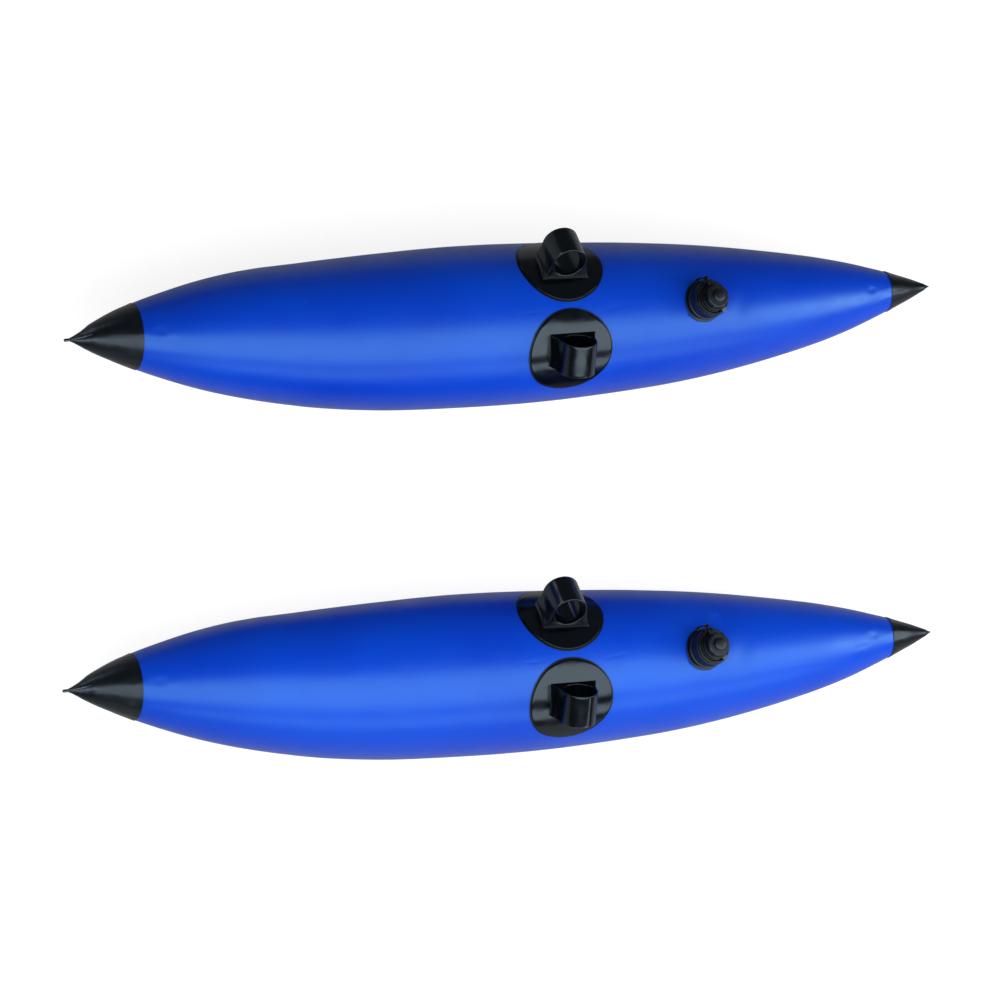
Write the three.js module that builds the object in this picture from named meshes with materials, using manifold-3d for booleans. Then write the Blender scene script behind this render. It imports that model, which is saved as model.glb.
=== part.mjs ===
// A pair of inflatable outrigger floats for a kayak, in millimetres, +Z up.
// Each float is an air-filled hull with a stiff black cone at each end, two
// pole sockets welded on its shoulders and a two-stage screw valve on top.
// The pair lies side by side on its keel seams, noses towards -X. The origin
// is the middle of the pair's footprint, on the surface that it lies on.
import * as THREE from 'three';
import { mergeVertices } from 'three/addons/utils/BufferGeometryUtils.js';
import Module from 'manifold-3d';

const wasm = await Module();
wasm.setup();

// The hull of one float
const floatLength = 1038;
const hullRadius = 90.3;
const widestToNose = 465;
const noseConeLength = 80;
const tailConeLength = 54;
const noseJoinRadius = 37.7;
const tailJoinRadius = 23.4;
const hullBow = 14.6;
const sheetWall = 0.9;
const coneLap = 24;
const noseFullnessPower = 2.52;
const tailFullnessPower = 2.55;

// The welded tips of the cones
const tipRadius = 2.2;
const tipLength = 13;
const tipNubLength = 4;

// The tape over the keel seam, flattened where the float lies on it
const seamTapeWidth = 26;
const seamTapeWall = 1.2;
const keelFlatDepth = 0.8;

// The pair
const floatSpacing = 397.5;
const floatStagger = 53;

// A pole socket: a round flange with a sleeve across it
const socketFromMiddle = 50;
const poleBoreRadius = 18;
const sleeveWall = 2.4;
const sleeveLength = 38;
const sleeveInset = 4.5;
const sleeveFootReach = 6;
const boreFloor = 1.8;
const flangeMargin = 16;
const flangeWall = 1.6;
const patchMargin = 2;
const patchWall = 0.6;
const patchSpacing = 7;

// The valve's base, welded on the hull
const valveFromMiddle = 215;
const valveSideways = -4.5;
const valveFlangeReach = 7.2;
const valveFlangeWall = 1.6;
const neckRadius = 17.4;
const neckWall = 2.4;
const neckHeight = 15;
const neckDepth = 4.8;
const sealWall = 1.2;

// The screwed valve body, from its skirt up to its nozzle
const skirtWall = 2.5;
const skirtRimReach = 1.6;
const skirtRimHeight = 2.6;
const plateWall = 2.2;
const shoulderReach = 5.4;
const shoulderHeight = 4.2;
const nozzleRadius = 10.6;
const nozzleWall = 2.1;
const nozzleHeight = 8;
const spokeWidth = 2;
const hubWall = 1.3;

// The check diaphragm and its stem
const stemRadius = 1.2;
const bulbReach = 0.4;
const diaphragmWall = 1.1;
const diaphragmLap = 2.2;
const diaphragmTravel = 2.4;

// The screw cap
const capWaistWall = 1;
const capGripWall = 1.7;
const capRimReach = 1.6;
const capRimHeight = 2;
const capTopWall = 2.2;
const knobRadius = 7;
const knobHeight = 4.6;

// The straps that keep the loosened valve pieces on the float
const strapWidth = 6;
const strapWall = 1.4;
const strapRingWidth = 2.4;
const bodyStrapReach = 6;
const capStrapReach = 2.6;
const strapAngle = 105;
const tabWidth = 6.5;
const tabReach = 5;
const tabLip = 1.8;
const tabAngle = -56;

// Clearances
const seatGap = 0.3;
const turnGap = 0.5;
const holeGap = 0.6;
const overrun = 4;

// Counts of sides and steps
const hullSides = 32;
const noseSteps = 5;
const tailSteps = 6;
const coneSteps = 1;
const flangeSides = 28;
const boreSides = 20;
const archSteps = 12;
const valveSides = 20;
const smallSides = 12;
const capGripSides = 8;

const half = 0.5;
const degree = Math.PI / 180;

// Places along one float, measured from the middle of its length
const noseEnd = -floatLength * half;
const tailEnd = floatLength * half;
const widest = noseEnd + widestToNose;
const noseJoin = noseEnd + noseConeLength;
const tailJoin = tailEnd - tailConeLength;

// Sizes of a fitting that follow from its own pieces
const archRadius = poleBoreRadius + sleeveWall;
const sleeveHalfFoot = archRadius + sleeveFootReach;
const flangeRadius = Math.hypot(sleeveHalfFoot, sleeveLength * half) + flangeMargin;
const patchRadius = flangeRadius + patchMargin;
const valveFlangeRadius = neckRadius + valveFlangeReach;
const neckBore = neckRadius - neckWall;
const skirtBore = neckRadius + turnGap;
const skirtRadius = skirtBore + skirtWall;
const nozzleBore = nozzleRadius - nozzleWall;
const shoulderRadius = nozzleRadius + shoulderReach;
const stemHoleRadius = stemRadius + turnGap;
const capBore = nozzleRadius + turnGap;
const capWaistRadius = capBore + capWaistWall;

// Levels of the socket's flange above the hull
const socketUnder = seatGap + patchWall + seatGap;
const socketTop = socketUnder + flangeWall;

// Levels of the valve's pieces above the hull, along the valve's own axis
const flangeTop = seatGap + valveFlangeWall;
const lowStrapLow = flangeTop + seatGap;
const skirtLow = lowStrapLow + strapWall + turnGap;
const neckTop = flangeTop + neckHeight;
const bodySealLow = neckTop + seatGap;
const plateLow = bodySealLow + sealWall + seatGap;
const plateTop = plateLow + plateWall;
const shoulderTop = plateTop + shoulderHeight;
const nozzleTop = shoulderTop + nozzleHeight;
const capLow = shoulderTop + turnGap;
const capRimTop = capLow + capRimHeight;
const capGripLow = capRimTop + seatGap + strapWall + turnGap;
const capSealLow = nozzleTop + seatGap;
const capCeiling = capSealLow + sealWall + seatGap;
const capTop = capCeiling + capTopWall;

const vinylBlue = { color: 0x0b46d6, roughness: 0.42, metalness: 0 };
const vinylBlack = { color: 0x14171a, roughness: 0.5, metalness: 0 };
const weldBlack = { color: 0x08090a, roughness: 0.55, metalness: 0 };
const glossBlack = { color: 0x121518, roughness: 0.18, metalness: 0 };
const mouldBlack = { color: 0x101112, roughness: 0.35, metalness: 0 };
const sealGrey = { color: 0x3b3f42, roughness: 0.7, metalness: 0 };
const siliconeClear = { color: 0xb9c4c8, roughness: 0.4, metalness: 0 };

// Radius of the hull's outer surface at a place along the float
function radiusAt(x) {
  if (x <= noseJoin) {
    const share = (x - noseEnd) / noseConeLength;
    return tipRadius + (noseJoinRadius - tipRadius) * Math.max(share, 0);
  }
  if (x >= tailJoin) {
    const share = (tailEnd - x) / tailConeLength;
    return tipRadius + (tailJoinRadius - tipRadius) * Math.max(share, 0);
  }
  const towardsNose = x < widest;
  const join = towardsNose ? noseJoin : tailJoin;
  const joinRadius = towardsNose ? noseJoinRadius : tailJoinRadius;
  const power = towardsNose ? noseFullnessPower : tailFullnessPower;
  const share = Math.abs((x - widest) / (join - widest));
  return joinRadius + (hullRadius - joinRadius) * (1 - share ** power);
}

// Sideways place of the hull's centre line, which bows between the tips
function bowAt(x) {
  const share = x / tailEnd;
  return -hullBow * (1 - share * share);
}

// Slope of the hull's surface along the float
function slopeAt(x) {
  const step = sheetWall;
  return (radiusAt(x + step) - radiusAt(x - step)) / (step + step);
}

// Places of the rings between two ends, closer together near the second end
function placesBetween(start, end, steps) {
  const places = [];
  for (let i = 0; i <= steps; i += 1) {
    const share = Math.sin((i / steps) * Math.PI * half);
    places.push(start + (end - start) * share);
  }
  return places;
}

const nosePlaces = placesBetween(widest, noseJoin, noseSteps).reverse();
const tailPlaces = placesBetween(widest, tailJoin, tailSteps).slice(1);
const hullPlaces = [...nosePlaces, ...tailPlaces];

// Turns a closed three.js geometry into a solid that can be cut and joined
function solidOf(geometry) {
  const plain = geometry.clone();
  plain.deleteAttribute('normal');
  plain.deleteAttribute('uv');
  const merged = mergeVertices(plain);
  const mesh = new wasm.Mesh({
    numProp: 3,
    vertProperties: Float32Array.from(merged.attributes.position.array),
    triVerts: Uint32Array.from(merged.index.array),
  });
  return new wasm.Manifold(mesh);
}

// Turns a solid back into a three.js geometry
function geometryOf(solid) {
  const mesh = solid.getMesh();
  const geometry = new THREE.BufferGeometry();
  const positions = Float32Array.from(mesh.vertProperties);
  geometry.setAttribute('position', new THREE.BufferAttribute(positions, 3));
  geometry.setIndex(new THREE.BufferAttribute(Uint32Array.from(mesh.triVerts), 1));
  geometry.computeVertexNormals();
  return geometry;
}

// A solid of revolution about +Z from a closed outline of [radius, height]
function turned(outline, sides) {
  const points = outline.map(([radius, height]) => new THREE.Vector2(radius, height));
  const geometry = new THREE.LatheGeometry(points, sides);
  geometry.rotateX(Math.PI * half);
  return solidOf(geometry);
}

// A plain disc or post about +Z between two heights
function post(radius, low, high, sides) {
  return turned([[0, low], [radius, low], [radius, high], [0, high]], sides);
}

// A ring about +Z between two radii and two heights
function ring(inner, outer, low, high, sides) {
  return turned([[inner, low], [outer, low], [outer, high], [inner, high], [inner, low]], sides);
}

// A block between two corners
function block(low, high) {
  const size = high.map((value, axis) => value - low[axis]);
  const geometry = new THREE.BoxGeometry(...size);
  geometry.translate(...high.map((value, axis) => (value + low[axis]) * half));
  return solidOf(geometry);
}

// A solid of revolution along the float, bowed with the hull, from a closed
// outline of [place along the float, radius]
function hullTurned(outline, sides = hullSides) {
  const points = outline.map(([x, radius]) => new THREE.Vector2(radius, x));
  const geometry = new THREE.LatheGeometry(points, sides, Math.PI / sides);
  geometry.rotateZ(-Math.PI * half);
  const position = geometry.attributes.position;
  for (let i = 0; i < position.count; i += 1) {
    position.setY(i, position.getY(i) + bowAt(position.getX(i)));
  }
  return solidOf(geometry);
}

// A solid moved by a matrix
function placed(solid, matrix) {
  const geometry = geometryOf(solid);
  geometry.applyMatrix4(matrix);
  return solidOf(geometry);
}

// A solid turned about +Z by an angle in degrees
function turnedBy(solid, angle) {
  return placed(solid, new THREE.Matrix4().makeRotationZ(angle * degree));
}

// The hull between its joins as a filled body, grown outwards by an offset
function hullGrown(offset) {
  const skin = hullPlaces.map((x) => [x, radiusAt(x) + offset]);
  return hullTurned([[noseJoin, 0], ...skin, [tailJoin, 0]]);
}

// A skin that lies on the hull between two offsets from its surface
function hullSkin(inner, outer) {
  return hullGrown(outer).subtract(hullGrown(inner));
}

// The sheet between two places, as a closed outline for hullTurned
function sheetOutline(places, inner, outer) {
  const outside = places.map((x) => [x, radiusAt(x) + outer]);
  const inside = places.map((x) => [x, radiusAt(x) + inner]).reverse();
  return [...outside, ...inside, outside[0]];
}

// The blue hull: one open-ended tube that runs on under both cones
function airTube() {
  const places = [noseJoin - coneLap, ...hullPlaces, tailJoin + coneLap];
  const tube = hullTurned(sheetOutline(places, -sheetWall, 0));
  const hole = post(neckRadius + holeGap, -valveFlangeRadius, valveFlangeRadius, valveSides);
  return tube.subtract(placed(hole, valvePlace()));
}

// A stiff cone cap, open at its join and at its small end
function coneCap(join, end) {
  const nub = end + Math.sign(join - end) * tipNubLength;
  const places = placesBetween(Math.min(join, nub), Math.max(join, nub), coneSteps);
  return hullTurned(sheetOutline(places, seatGap, seatGap + sheetWall));
}

// The pinched and welded tip that closes a cone
function coneTip(end, direction) {
  const inside = end + direction * tipLength;
  const places = [end, end + direction * tipNubLength, inside];
  const outline = [[end, 0], ...places.map((x) => [x, radiusAt(x)]), [inside, 0]];
  return hullTurned(direction > 0 ? outline : outline.reverse(), smallSides);
}

// Height of the flat that the float lies on, below the hull's centre line
function keelLevel() {
  return -(hullRadius + seatGap + seamTapeWall - keelFlatDepth);
}

// The tape over the seam that closes the hull's sheet along the keel
function keelSeamTape() {
  const edge = seamTapeWidth * half;
  const depth = hullRadius + hullRadius;
  const start = noseJoin + seatGap;
  const stop = tailJoin - seatGap;
  const places = [start, ...hullPlaces.slice(1, -1), stop];
  const near = places.map((x) => new THREE.Vector2(x, bowAt(x) - edge));
  const far = places.map((x) => new THREE.Vector2(x, bowAt(x) + edge)).reverse();
  const band = new THREE.ExtrudeGeometry(new THREE.Shape([...near, ...far]), {
    depth,
    bevelEnabled: false,
  });
  band.translate(0, 0, -depth);
  const tape = hullSkin(seatGap, seatGap + seamTapeWall).intersect(solidOf(band));
  const below = block([noseEnd, -depth, -depth], [tailEnd, depth, keelLevel()]);
  return tape.subtract(below);
}

// The frame of a fitting on the hull's surface: its z axis points outwards
function fittingPlace(x, angle, lean) {
  const place = new THREE.Matrix4().makeTranslation(x, bowAt(x), 0);
  const turn = new THREE.Matrix4().makeRotationX(-angle);
  const lift = new THREE.Matrix4().makeTranslation(0, 0, radiusAt(x));
  const tilt = new THREE.Matrix4().makeRotationY(lean);
  return place.multiply(turn).multiply(lift).multiply(tilt);
}

// The valve stands square to the hull, so it leans with the hull's slope
function valvePlace() {
  const angle = valveSideways / radiusAt(valveFromMiddle);
  return fittingPlace(valveFromMiddle, angle, Math.atan(-slopeAt(valveFromMiddle)));
}

// The sockets stand on both shoulders, with a small space between their patches
function socketPlace(side) {
  const reach = patchRadius + patchSpacing * half;
  return fittingPlace(socketFromMiddle, (side * reach) / radiusAt(socketFromMiddle), 0);
}

// A round piece of skin on the hull, cut so that it is round when unrolled
function roundSkin(radius, inner, outer, place) {
  const level = hullRadius * half;
  const arc = radius / radiusAt(socketFromMiddle);
  const unroll = new THREE.Matrix4().makeScale(1, Math.sin(arc) / arc, 1);
  const cutter = placed(post(radius, -level, level, flangeSides), place.clone().multiply(unroll));
  return hullSkin(inner, outer).intersect(cutter);
}

// Outline of the sleeve: an arch over the bore, on feet that spread outwards
function sleeveShape(low, floor, centre) {
  const drop = floor - centre;
  const distance = Math.hypot(sleeveHalfFoot, drop);
  const tangent = Math.atan2(drop, sleeveHalfFoot) + Math.acos(archRadius / distance);
  const shape = new THREE.Shape();
  shape.moveTo(-sleeveHalfFoot, low);
  shape.lineTo(sleeveHalfFoot, low);
  shape.lineTo(sleeveHalfFoot, floor);
  shape.absarc(0, centre, archRadius, tangent, Math.PI - tangent, false);
  shape.lineTo(-sleeveHalfFoot, floor);
  shape.closePath();
  return shape;
}

// A pole socket: the flange and the sleeve are one moulding. The sleeve sits
// nearer the hull's top line than the middle of the flange does.
function poleSocket(side) {
  const place = socketPlace(side);
  const inset = new THREE.Matrix4().makeTranslation(0, -side * sleeveInset, 0);
  const seat = place.clone().multiply(inset);
  const centre = socketTop + boreFloor + poleBoreRadius;
  const arch = new THREE.ExtrudeGeometry(sleeveShape(-sleeveLength, socketTop, centre), {
    depth: sleeveLength,
    bevelEnabled: false,
    curveSegments: archSteps,
  });
  arch.translate(0, 0, -sleeveLength * half);
  arch.rotateX(Math.PI * half);
  arch.applyMatrix4(seat);
  const length = sleeveLength + overrun;
  const bore = new THREE.CylinderGeometry(poleBoreRadius, poleBoreRadius, length, boreSides);
  bore.translate(0, 0, centre);
  bore.applyMatrix4(seat);
  const sleeve = solidOf(arch).subtract(hullGrown(socketUnder + flangeWall * half));
  const flange = roundSkin(flangeRadius, socketUnder, socketTop, place);
  return flange.add(sleeve).subtract(solidOf(bore));
}

// The valve's base: a flange welded on the hull, with the neck through it
function valveBase() {
  const place = valvePlace();
  const reach = valveFlangeRadius;
  const disc = placed(post(reach, -reach, reach, flangeSides), place);
  const flange = hullSkin(seatGap, flangeTop).intersect(disc);
  const neck = placed(post(neckRadius, -neckDepth, neckTop, valveSides), place);
  const bore = placed(post(neckBore, -reach, neckTop + overrun, valveSides), place);
  return flange.add(neck).subtract(bore);
}

// The seal between the neck and the screwed body
function bodySeal() {
  return ring(neckBore, neckRadius, bodySealLow, bodySealLow + sealWall, valveSides);
}

// The screwed body: skirt, plate, shoulder and nozzle, with a spoked bore
function valveBody() {
  const rimTop = skirtLow + skirtRimHeight;
  const rimRadius = skirtRadius + skirtRimReach;
  const shell = turned([
    [nozzleBore, plateLow],
    [skirtBore, plateLow],
    [skirtBore, skirtLow],
    [rimRadius, skirtLow],
    [rimRadius, rimTop],
    [skirtRadius, rimTop],
    [skirtRadius, plateTop],
    [shoulderRadius, plateTop],
    [shoulderRadius, shoulderTop],
    [nozzleRadius, shoulderTop],
    [nozzleRadius, nozzleTop],
    [nozzleBore, nozzleTop],
    [nozzleBore, plateLow],
  ], valveSides);
  const bar = nozzleBore + nozzleWall * half;
  const edge = spokeWidth * half;
  const alongX = block([-bar, -edge, plateLow], [bar, edge, plateTop]);
  const alongY = block([-edge, -bar, plateLow], [edge, bar, plateTop]);
  const hub = post(stemHoleRadius + hubWall, plateLow, plateTop, smallSides);
  const hole = post(stemHoleRadius, plateLow - overrun, plateTop + overrun, smallSides);
  return shell.add(alongX).add(alongY).add(hub).subtract(hole);
}

// The flexible disc that air pushes down on its way in
function checkDiaphragm() {
  const top = plateLow - seatGap;
  const radius = nozzleBore + diaphragmLap;
  const bulbRadius = stemHoleRadius + bulbReach;
  const bulbLow = plateTop + seatGap + diaphragmTravel;
  return turned([
    [0, top - diaphragmWall],
    [radius, top - diaphragmWall],
    [radius, top],
    [stemRadius, top],
    [stemRadius, bulbLow],
    [bulbRadius, bulbLow],
    [stemRadius, bulbLow + bulbRadius],
    [0, bulbLow + bulbRadius],
  ], smallSides);
}

// The screw cap: a rim, a waist for its strap, a faceted grip and a knob
function valveCap() {
  const cornerRadius = (capBore + capGripWall) / Math.cos(Math.PI / capGripSides);
  const grip = post(cornerRadius, capGripLow, capTop, capGripSides);
  const rim = post(capWaistRadius + capRimReach, capLow, capRimTop, valveSides);
  const waist = post(capWaistRadius, capLow, capTop, valveSides);
  const knob = post(knobRadius, capTop - capTopWall * half, capTop + knobHeight, valveSides);
  const bore = post(capBore, capLow - overrun, capCeiling, valveSides);
  return grip.add(rim).add(waist).add(knob).subtract(bore);
}

// The seal between the nozzle and the cap
function capSeal() {
  return ring(nozzleBore, nozzleRadius, capSealLow, capSealLow + sealWall, valveSides);
}

// A flat ring of a strap at one level
function strapRing(inner, level) {
  return ring(inner, inner + strapRingWidth, level, level + strapWall, valveSides);
}

// A strap: a ring below, a ring above and a bent arm that joins them
function strap(lowInner, low, highInner, high, reach) {
  const out = Math.max(lowInner, highInner) + strapRingWidth + reach;
  const edge = strapWidth * half;
  const middle = strapRingWidth * half;
  const lowArm = block([lowInner + middle, -edge, low], [out, edge, low + strapWall]);
  const highArm = block([highInner + middle, -edge, high], [out, edge, high + strapWall]);
  const back = block([out - strapWall, -edge, low], [out, edge, high + strapWall]);
  const rings = strapRing(lowInner, low).add(strapRing(highInner, high));
  return turnedBy(rings.add(lowArm).add(highArm).add(back), strapAngle);
}

// The strap that keeps the screwed body on the base
function bodyStrap() {
  return strap(skirtBore, lowStrapLow, shoulderRadius + turnGap, plateTop + seatGap, bodyStrapReach);
}

// The strap that keeps the cap on the screwed body, with a pull tab
function capStrap() {
  const low = plateTop + seatGap + strapWall + turnGap;
  const high = capRimTop + seatGap;
  const inner = capWaistRadius + turnGap;
  const start = inner + strapRingWidth * half;
  const out = inner + strapRingWidth + tabReach;
  const edge = tabWidth * half;
  const tongue = block([start, -edge, high], [out, edge, high + strapWall]);
  const lip = block([out - tabLip, -edge, high], [out, edge, high + strapWall + tabLip]);
  const tab = turnedBy(tongue.add(lip), tabAngle);
  return strap(shoulderRadius + turnGap, low, inner, high, capStrapReach).add(tab);
}

// A named mesh with its own material
function piece(name, solid, finish) {
  const mesh = new THREE.Mesh(geometryOf(solid), new THREE.MeshStandardMaterial(finish));
  mesh.name = name;
  return mesh;
}

const hullSolids = {
  air_tube: [airTube(), vinylBlue],
  keel_seam_tape: [keelSeamTape(), vinylBlue],
  nose_cone: [coneCap(noseJoin, noseEnd), vinylBlack],
  nose_tip: [coneTip(noseEnd, 1), weldBlack],
  tail_cone: [coneCap(tailJoin, tailEnd), vinylBlack],
  tail_tip: [coneTip(tailEnd, -1), weldBlack],
  far_socket_patch: [roundSkin(patchRadius, seatGap, seatGap + patchWall, socketPlace(1)), weldBlack],
  far_pole_socket: [poleSocket(1), glossBlack],
  near_socket_patch: [roundSkin(patchRadius, seatGap, seatGap + patchWall, socketPlace(-1)), weldBlack],
  near_pole_socket: [poleSocket(-1), glossBlack],
  valve_base: [valveBase(), mouldBlack],
};
const valveSolids = {
  body_seal: [bodySeal(), sealGrey],
  body_strap: [bodyStrap(), mouldBlack],
  valve_body: [valveBody(), mouldBlack],
  check_diaphragm: [checkDiaphragm(), siliconeClear],
  cap_seal: [capSeal(), sealGrey],
  cap_strap: [capStrap(), mouldBlack],
  valve_cap: [valveCap(), mouldBlack],
};

// One float with all its pieces, named with a prefix
function floatGroup(prefix) {
  const group = new THREE.Group();
  const valve = new THREE.Group();
  valve.applyMatrix4(valvePlace());
  for (const [name, [solid, finish]] of Object.entries(hullSolids)) {
    group.add(piece(`${prefix}_${name}`, solid, finish));
  }
  for (const [name, [solid, finish]] of Object.entries(valveSolids)) {
    valve.add(piece(`${prefix}_${name}`, solid, finish));
  }
  group.add(valve);
  return group;
}

const pair = new THREE.Group();
const port = floatGroup('port');
const starboard = floatGroup('starboard');
port.position.set(floatStagger * half, floatSpacing * half, 0);
starboard.position.set(-floatStagger * half, -floatSpacing * half, 0);
pair.add(port, starboard);

// The middle of the pair's footprint comes to the origin
pair.updateMatrixWorld(true);
const extent = new THREE.Box3().setFromObject(pair, true);
const middle = extent.getCenter(new THREE.Vector3());
pair.position.set(-middle.x, -middle.y, -extent.min.z);

export default pair;
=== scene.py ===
# %% [markdown]
# A pair of inflatable outrigger floats for a kayak. Each float is a tube of blue coated vinyl
# with a stiff black cone at both ends, two glossy black pole sockets and a black screw valve.
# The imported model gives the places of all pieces, and this lesson dresses them.

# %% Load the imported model
import math

import bmesh
import bpy
from mathutils import Matrix, Vector


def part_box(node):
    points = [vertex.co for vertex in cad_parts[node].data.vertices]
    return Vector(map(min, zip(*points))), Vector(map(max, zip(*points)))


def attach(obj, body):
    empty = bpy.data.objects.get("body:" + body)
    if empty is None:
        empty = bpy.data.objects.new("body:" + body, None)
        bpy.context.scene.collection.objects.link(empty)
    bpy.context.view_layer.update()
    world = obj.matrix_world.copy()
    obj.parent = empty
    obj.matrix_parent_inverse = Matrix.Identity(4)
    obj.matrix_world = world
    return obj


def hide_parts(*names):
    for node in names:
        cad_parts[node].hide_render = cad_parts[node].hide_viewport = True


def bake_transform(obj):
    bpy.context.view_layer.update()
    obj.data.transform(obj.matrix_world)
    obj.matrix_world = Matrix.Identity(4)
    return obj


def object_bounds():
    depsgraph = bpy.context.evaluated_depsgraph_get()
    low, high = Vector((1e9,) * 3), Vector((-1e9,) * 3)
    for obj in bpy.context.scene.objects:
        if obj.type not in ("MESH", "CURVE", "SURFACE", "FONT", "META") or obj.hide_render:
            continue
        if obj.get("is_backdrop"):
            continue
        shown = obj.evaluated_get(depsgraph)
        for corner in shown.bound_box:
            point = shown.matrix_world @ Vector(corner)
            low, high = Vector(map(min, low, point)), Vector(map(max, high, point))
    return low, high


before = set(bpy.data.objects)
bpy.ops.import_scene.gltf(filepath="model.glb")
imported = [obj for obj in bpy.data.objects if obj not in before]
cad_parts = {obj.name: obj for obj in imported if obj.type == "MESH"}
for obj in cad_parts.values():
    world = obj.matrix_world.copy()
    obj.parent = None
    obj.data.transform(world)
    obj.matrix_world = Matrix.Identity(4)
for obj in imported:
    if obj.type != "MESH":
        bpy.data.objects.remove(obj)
cad_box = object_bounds()
MM = 0.001
print("CAD box", [tuple(round(v, 4) for v in corner) for corner in cad_box])


def new_object(name, data):
    """An object in the scene, at the origin."""
    item = bpy.data.objects.new(name, data)
    bpy.context.collection.objects.link(item)
    return item


# %% [markdown]
# The photograph looks down on the floats from far away, a little from the nose side, so that
# both floats look alike and the hulls rise gently to the right. A camera is best placed by
# three things that can be measured in a picture: the direction of view, the roll and the scale.

# %% Camera
LENS = 801.4
SENSOR = 36.0
PICTURE = 1000
VIEW_YAW = math.radians(20.31)
VIEW_OFF_TOP = math.radians(10.87)
VIEW_ROLL = math.radians(3.527)
CAMERA_DISTANCE = 25.0
PAIR_AT_PIXEL = (500.5, 486.1)

view_direction = Vector((
    math.sin(VIEW_YAW),
    math.cos(VIEW_YAW) * math.sin(VIEW_OFF_TOP),
    -math.cos(VIEW_YAW) * math.cos(VIEW_OFF_TOP),
))
level_right = Vector((1, 0, 0)) - view_direction * view_direction.x
level_right.normalize()
level_up = level_right.cross(view_direction)
camera_right = level_right * math.cos(VIEW_ROLL) - level_up * math.sin(VIEW_ROLL)
camera_up = level_right * math.sin(VIEW_ROLL) + level_up * math.cos(VIEW_ROLL)

tips = [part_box(f"{side}_nose_tip") for side in ("port", "starboard")]
tip_lines = [(low + high) / 2 for low, high in tips]
pair_middle = Vector((0, (tip_lines[0].y + tip_lines[1].y) / 2, tip_lines[0].z))
pixel = CAMERA_DISTANCE * SENSOR / LENS / PICTURE
offset_right = (PAIR_AT_PIXEL[0] - PICTURE / 2) * pixel
offset_up = (PICTURE / 2 - PAIR_AT_PIXEL[1]) * pixel
aim = pair_middle - camera_right * offset_right - camera_up * offset_up

camera_data = bpy.data.cameras.new("camera")
camera_data.lens = LENS
camera_data.sensor_width = SENSOR
camera_data.clip_end = 100
camera = new_object("camera", camera_data)
turn = Matrix((camera_right, camera_up, -view_direction)).transposed().to_4x4()
camera.matrix_world = Matrix.Translation(aim - view_direction * CAMERA_DISTANCE) @ turn
bpy.context.scene.camera = camera
print("camera at", tuple(round(v, 3) for v in camera.matrix_world.translation))

# %% [markdown]
# One long softbox hangs above the near side, parallel to the floats. It draws the sheen on
# each hull from end to end and the bright lines on the mouldings. Four small ones help it: a
# low one on the near side, one off each end for the cones, and a weak one far off on the
# other side for the sleeves' flanks. A dim surround fills the rest, so that the far shoulders
# fall off to a deep blue. The floor is white paper. Its colour is only raised for rays that
# look at it, directly or less in a gloss, so it keeps the soft shadow under the floats. The
# surround is white too for rays that look at it. From below the paper is clear, so that the
# underside can be looked at, and it lies a hair under the keels.

# %% Helpers for nodes


def add(tree, kind, **settings):
    """A new node, with plain settings and input values."""
    node = tree.nodes.new(kind)
    for label, value in settings.items():
        socket_name = label.replace("_", " ")
        if socket_name in node.inputs:
            node.inputs[socket_name].default_value = value
        else:
            setattr(node, label, value)
    return node


def wire(tree, *pairs):
    """Links sockets, each pair from an output to an input."""
    for source, target in pairs:
        tree.links.new(source, target)


def filled(tree, node, values):
    """Fills a node's inputs in their order: numbers are set and sockets are linked."""
    for socket, value in zip(node.inputs, values):
        if isinstance(value, (int, float)):
            socket.default_value = value
        else:
            tree.links.new(value, socket)
    return node.outputs[0]


def figure(tree, operation, *values):
    """One Math node."""
    return filled(tree, add(tree, "ShaderNodeMath", operation=operation), values)


def point_of(tree, *values):
    """Joins three numbers into a vector."""
    return filled(tree, add(tree, "ShaderNodeCombineXYZ"), values)


def new_material(name, **settings):
    """A material with one Principled shader, whose plain sockets are set here."""
    material = bpy.data.materials.new(name)
    material.use_nodes = True
    shader = material.node_tree.nodes["Principled BSDF"]
    for label, value in settings.items():
        shader.inputs[label.replace("_", " ")].default_value = value
    return material, material.node_tree, shader


# %% Surround and floor
SURROUND_LEVEL = 0.11
FLOOR_LIFT = 0.87
GLOSS_SHARE = 0.2
HALF_FLOOR = 7.0
FLOOR_HEIGHT = -0.2 * MM

world = bpy.data.worlds.new("surround")
bpy.context.scene.world = world
world.use_nodes = True
sky = world.node_tree
backdrop = sky.nodes["Background"]
backdrop.inputs["Color"].default_value = (0.93, 0.96, 1.0, 1)
looked_at = add(sky, "ShaderNodeLightPath")
level = add(sky, "ShaderNodeMapRange", To_Min=SURROUND_LEVEL, To_Max=1.0)
wire(sky, (looked_at.outputs["Is Camera Ray"], level.inputs["Value"]),
     (level.outputs["Result"], backdrop.inputs["Strength"]))

paper, tree, shader = new_material("white_paper", Base_Color=(0.22, 0.22, 0.22, 1), Roughness=0.9,
                                   Emission_Color=(1, 1, 1, 1))
ray = add(tree, "ShaderNodeLightPath").outputs
in_gloss = figure(tree, "MULTIPLY", ray["Is Glossy Ray"], GLOSS_SHARE)
either = figure(tree, "MAXIMUM", ray["Is Camera Ray"], in_gloss)
any_look = figure(tree, "MAXIMUM", either, ray["Is Transmission Ray"])
clear = add(tree, "ShaderNodeBsdfTransparent")
facing = add(tree, "ShaderNodeNewGeometry")
by_side = add(tree, "ShaderNodeMixShader")
wire(tree, (figure(tree, "MULTIPLY", any_look, FLOOR_LIFT), shader.inputs["Emission Strength"]),
     (facing.outputs["Backfacing"], by_side.inputs[0]),
     (shader.outputs[0], by_side.inputs[1]), (clear.outputs[0], by_side.inputs[2]),
     (by_side.outputs[0], tree.nodes["Material Output"].inputs["Surface"]))

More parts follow.
